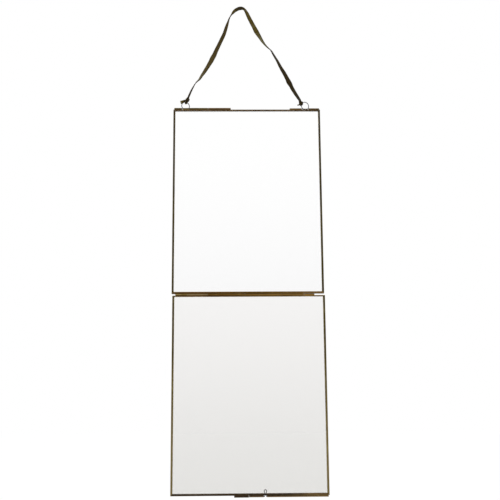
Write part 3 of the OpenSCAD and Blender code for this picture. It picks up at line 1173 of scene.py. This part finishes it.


# One brass throughout: besides its brown patina, these tones paint the dark surroundings that the brass
# reflects, so rails and knuckles of the same metal take lit and shaded tones of their own.
UMBER_SIDE = AgedBrassWithPaintedLight(
    "umber_side", shade(34, 27, 16), shade(58, 49, 30), shade(78, 70, 48), shade(128, 116, 84),
    Run.UPRIGHT, along_bar=AlongBarShift("Z", -0.22, -0.40, shade(62, 52, 14)),
)
GOLD_SIDE = AgedBrassWithPaintedLight(
    "gold_side", shade(48, 40, 18), shade(60, 48, 12), shade(92, 80, 42), shade(158, 144, 92),
    Run.UPRIGHT, 0.35, along_bar=AlongBarShift("Z", -0.46, -0.62, shade(116, 100, 64)),
)
UMBER_BAR = AgedBrassWithPaintedLight(
    "umber_bar", shade(42, 28, 14), shade(86, 65, 38), shade(98, 82, 58), shade(138, 116, 80),
)
# Towards its right end the bottom rail turns more golden, with a painted highlight on it for the light that
# it catches there.
BLACK_BAR = AgedBrassWithPaintedLight(
    "black_bar", shade(30, 20, 10), shade(56, 42, 25), shade(66, 50, 32), shade(110, 88, 58), bare=0.1,
    along_bar=AlongBarShift("X", 0.045, 0.1, shade(118, 94, 54)),
)
GOLD_BAR = AgedBrassWithPaintedLight(
    "gold_bar", shade(54, 36, 10), shade(86, 59, 12), shade(110, 84, 38), shade(156, 128, 74),
    along_bar=AlongBarShift("X", 0.0, 0.1, shade(108, 80, 34)),
)
HINGE_OLIVE = AgedBrassWithPaintedLight(
    "hinge_olive", shade(46, 26, 6), shade(72, 58, 6), shade(112, 102, 44), shade(172, 156, 92),
    bare=0.35, rough=0.36,
)
HINGE_GOLD = AgedBrassWithPaintedLight(
    "hinge_gold", shade(66, 48, 18), shade(122, 98, 46), shade(142, 120, 66), shade(196, 172, 118),
    bare=0.5, rough=0.34,
)
HINGE_TAN = AgedBrassWithPaintedLight(
    "hinge_tan", shade(62, 46, 26), shade(134, 112, 76), shade(146, 126, 92), shade(196, 176, 136),
    bare=0.45, rough=0.36,
)
HINGE_BROWN = AgedBrassWithPaintedLight(
    "hinge_brown", shade(50, 32, 10), shade(102, 78, 40), shade(116, 92, 50), shade(168, 140, 90),
    bare=0.3, rough=0.38,
)
HINGE_AMBER = AgedBrassWithPaintedLight(
    "hinge_amber", shade(60, 40, 8), shade(102, 71, 18), shade(130, 100, 42), shade(184, 150, 84),
    bare=0.35, rough=0.36, along_bar=AlongBarShift("X", -0.04, 0.06, shade(156, 120, 60)),
)
# Painted highlight: the tubes' under colour is lighter than their front, for the light along their
# undersides, and they turn lighter towards the right end for a highlight there.
TUBE_BROWN = AgedBrassWithPaintedLight(
    "tube_brown", shade(90, 74, 50), shade(84, 64, 38), shade(104, 84, 54), shade(160, 134, 90),
    bare=0.3, rough=0.38, along_bar=AlongBarShift("X", 0.0, 0.1, shade(172, 140, 86)),
)


@dataclass
class Leaf:
    """One leaf: four channel rails, mitred at the corners, round a pane of glass."""

    name: str
    finishes: dict[str, AgedBrassWithPaintedLight]
    glass: ClearGlass
    ease: float = 0.00022

    def build(self) -> None:
        """Eases and dresses the rails, and dresses the pane."""
        copier = EasedCopy(self.ease)
        for side, finish in self.finishes.items():
            node = f"{self.name}_{side}_rail"
            rail = new_piece(f"{node}_eased", copier.mesh(node), finish.material())
            settle(rail, self.name, node)
        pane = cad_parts[f"{self.name}_glass"]
        pane.data.materials.clear()
        pane.data.materials.append(self.glass.material())
        log.info("%s_glass keeps its mesh", self.name)


@dataclass
class HingeSet:
    """Knuckles and pins of one group of hinges."""

    parts: dict[str, tuple[str, AgedBrassWithPaintedLight | DrawnWire]]
    ease: float = 0.00014

    def build(self) -> None:
        """Eases and dresses each knuckle and pin."""
        copier = EasedCopy(self.ease)
        for node, (body, finish) in self.parts.items():
            kind = "pin_wire" if isinstance(finish, DrawnWire) else "hinge_brass"
            piece = new_piece(f"{node}_eased", copier.mesh(node), finish.material())
            settle(piece, body, node)


@dataclass
class SpringCatch:
    """The wire catch: two legs in the tubes, two arms under the rail and a finger loop in front."""

    middle_x: float = 0.025922
    axis_z: float = -0.6795
    front_y: float = -0.0039
    radius: float = 0.00045
    leg: float = 0.012
    arm: float = 0.0013
    loop: float = 0.0017
    rise: float = 0.0069
    neck: float = 0.4
    neck_rise: float = 0.62
    bend: float = 0.0009
    sweep_degrees: float = 236.0
    loop_steps: int = 40

    def corner(self, before: Vector, at: Vector, after: Vector, steps: int = 8) -> list[Vector]:
        """Rounds one corner of the wire's path.

        Args:
            before: Point before the corner.
            at: The corner.
            after: Point after it.
            steps: Points round it.

        Returns:
            The points round the corner.
        """
        start = at + (before - at).normalized() * self.bend
        end = at + (after - at).normalized() * self.bend
        return [
            start * ((1 - t) * (1 - t)) + at * (2 * t * (1 - t)) + end * (t * t)
            for t in (index / steps for index in range(steps + 1))
        ]

    def half(self, sign: int) -> list[Vector]:
        """The path from one leg's end to the start of the loop."""
        leg = Vector((self.middle_x + sign * self.leg, 0.0, self.axis_z))
        arm = Vector((self.middle_x + sign * self.arm, 0.0, self.axis_z))
        foot = Vector((self.middle_x + sign * self.arm, self.front_y, self.axis_z))
        neck_x = self.middle_x + sign * self.loop * self.neck
        neck = Vector((neck_x, self.front_y, self.axis_z + self.rise * self.neck_rise))
        turns = [leg, arm, foot, neck, self.loop_point(0.0 if sign > 0 else 1.0)]
        path = [leg]
        for corner in zip(turns, turns[1:], turns[2:]):
            path += self.corner(*corner)
        return path

    def loop_point(self, share: float) -> Vector:
        """A point on the finger loop, from 0 at its right start to 1 at its left end."""
        angle = math.radians(90.0 - self.sweep_degrees / 2 + self.sweep_degrees * share)
        x = self.middle_x + self.loop * math.cos(angle)
        return Vector((x, self.front_y, self.axis_z + self.rise + self.loop * math.sin(angle)))

    def build(self, sweep: WireSweep) -> None:
        """Draws the catch.

        Args:
            sweep: The tree that draws wires.
        """
        path = self.half(1)
        path += [self.loop_point(index / self.loop_steps) for index in range(self.loop_steps + 1)]
        path += reversed(self.half(-1))
        piece = sweep.draw("catch_wire_loop", path, self.radius, CATCH_WIRE.material())
        settle(piece, "catch", "wire_catch")


class BottomEdge:
    """Tubes, finger tab and catch along the lower frame's bottom rail."""

    def build(self, sweep: WireSweep) -> None:
        """Builds each of them.

        Args:
            sweep: The tree that draws wires.
        """
        HingeSet(
            {
                "catch_tube_short": ("lower_rear", TUBE_BROWN),
                "catch_tube_long": ("lower_rear", TUBE_BROWN),
            }
        ).build()
        tab = new_piece("finger_tab_eased", EasedCopy(0.0002).mesh("finger_tab"), BLACK_BAR.material())
        settle(tab, "lower_front", "finger_tab")
        SpringCatch().build(sweep)


# Each pane greys towards its foot, a painted shade.
UPPER_GLASS = ClearGlass("upper_glass", shade(255, 255, 255), shade(251.5, 251.5, 251.5), -0.16, -0.41, 2.2)
LOWER_GLASS = ClearGlass("lower_glass", shade(249.5, 249, 248.5), shade(239, 238.5, 237), -0.42, -0.675, 1.2)


def main() -> None:
    """Builds the whole part, piece by piece."""
    logging.basicConfig(level=logging.INFO, format="%(name)s: %(message)s")
    Viewpoint().build()
    Studio().build()
    sweep = WireSweep()
    Hanger().build(sweep)
    # Each rail's tone paints its own share of light, shade and reflection on the same brass.
    upper = {"top": UMBER_BAR, "bottom": GOLD_BAR, "left": UMBER_SIDE, "right": UMBER_SIDE}
    lower = {"top": GOLD_BAR, "bottom": BLACK_BAR, "left": GOLD_SIDE, "right": GOLD_SIDE}
    for name in ("upper_rear", "upper_front"):
        Leaf(name, upper, UPPER_GLASS).build()
    for name in ("lower_rear", "lower_front"):
        Leaf(name, lower, LOWER_GLASS).build()
    HingeSet(
        {
            "left_hinge_outer_knuckle": ("upper_rear", HINGE_OLIVE),
            "left_hinge_inner_knuckle": ("upper_rear", HINGE_BROWN),
            "left_hinge_leaf_knuckle": ("upper_front", HINGE_OLIVE),
            "left_ring_lip": ("upper_front", HINGE_OLIVE),
            "right_hinge_leaf_knuckle": ("upper_front", HINGE_BROWN),
            "right_hinge_outer_knuckle": ("upper_rear", HINGE_BROWN),
            "left_hinge_pin": ("upper_rear", PIN_WIRE),
            "right_hinge_pin": ("upper_rear", PIN_WIRE),
        }
    ).build()
    HingeSet(
        {
            "hinge_link_left": ("lower_rear", HINGE_GOLD),
            "hinge_link_middle": ("lower_rear", HINGE_AMBER),
            "hinge_link_right": ("lower_rear", HINGE_AMBER),
            "fold_knuckle_left": ("upper_rear", HINGE_TAN),
            "fold_knuckle_right": ("upper_rear", HINGE_AMBER),
            "lower_leaf_knuckle_left": ("lower_front", HINGE_TAN),
            "lower_leaf_knuckle_right": ("lower_front", HINGE_AMBER),
            "lower_leaf_knuckle_end": ("lower_front", HINGE_AMBER),
            "fold_pin": ("upper_rear", PIN_WIRE),
            "lower_leaf_pin": ("lower_rear", PIN_WIRE),
        }
    ).build()
    BottomEdge().build(sweep)


if __name__ == "__main__":
    main()
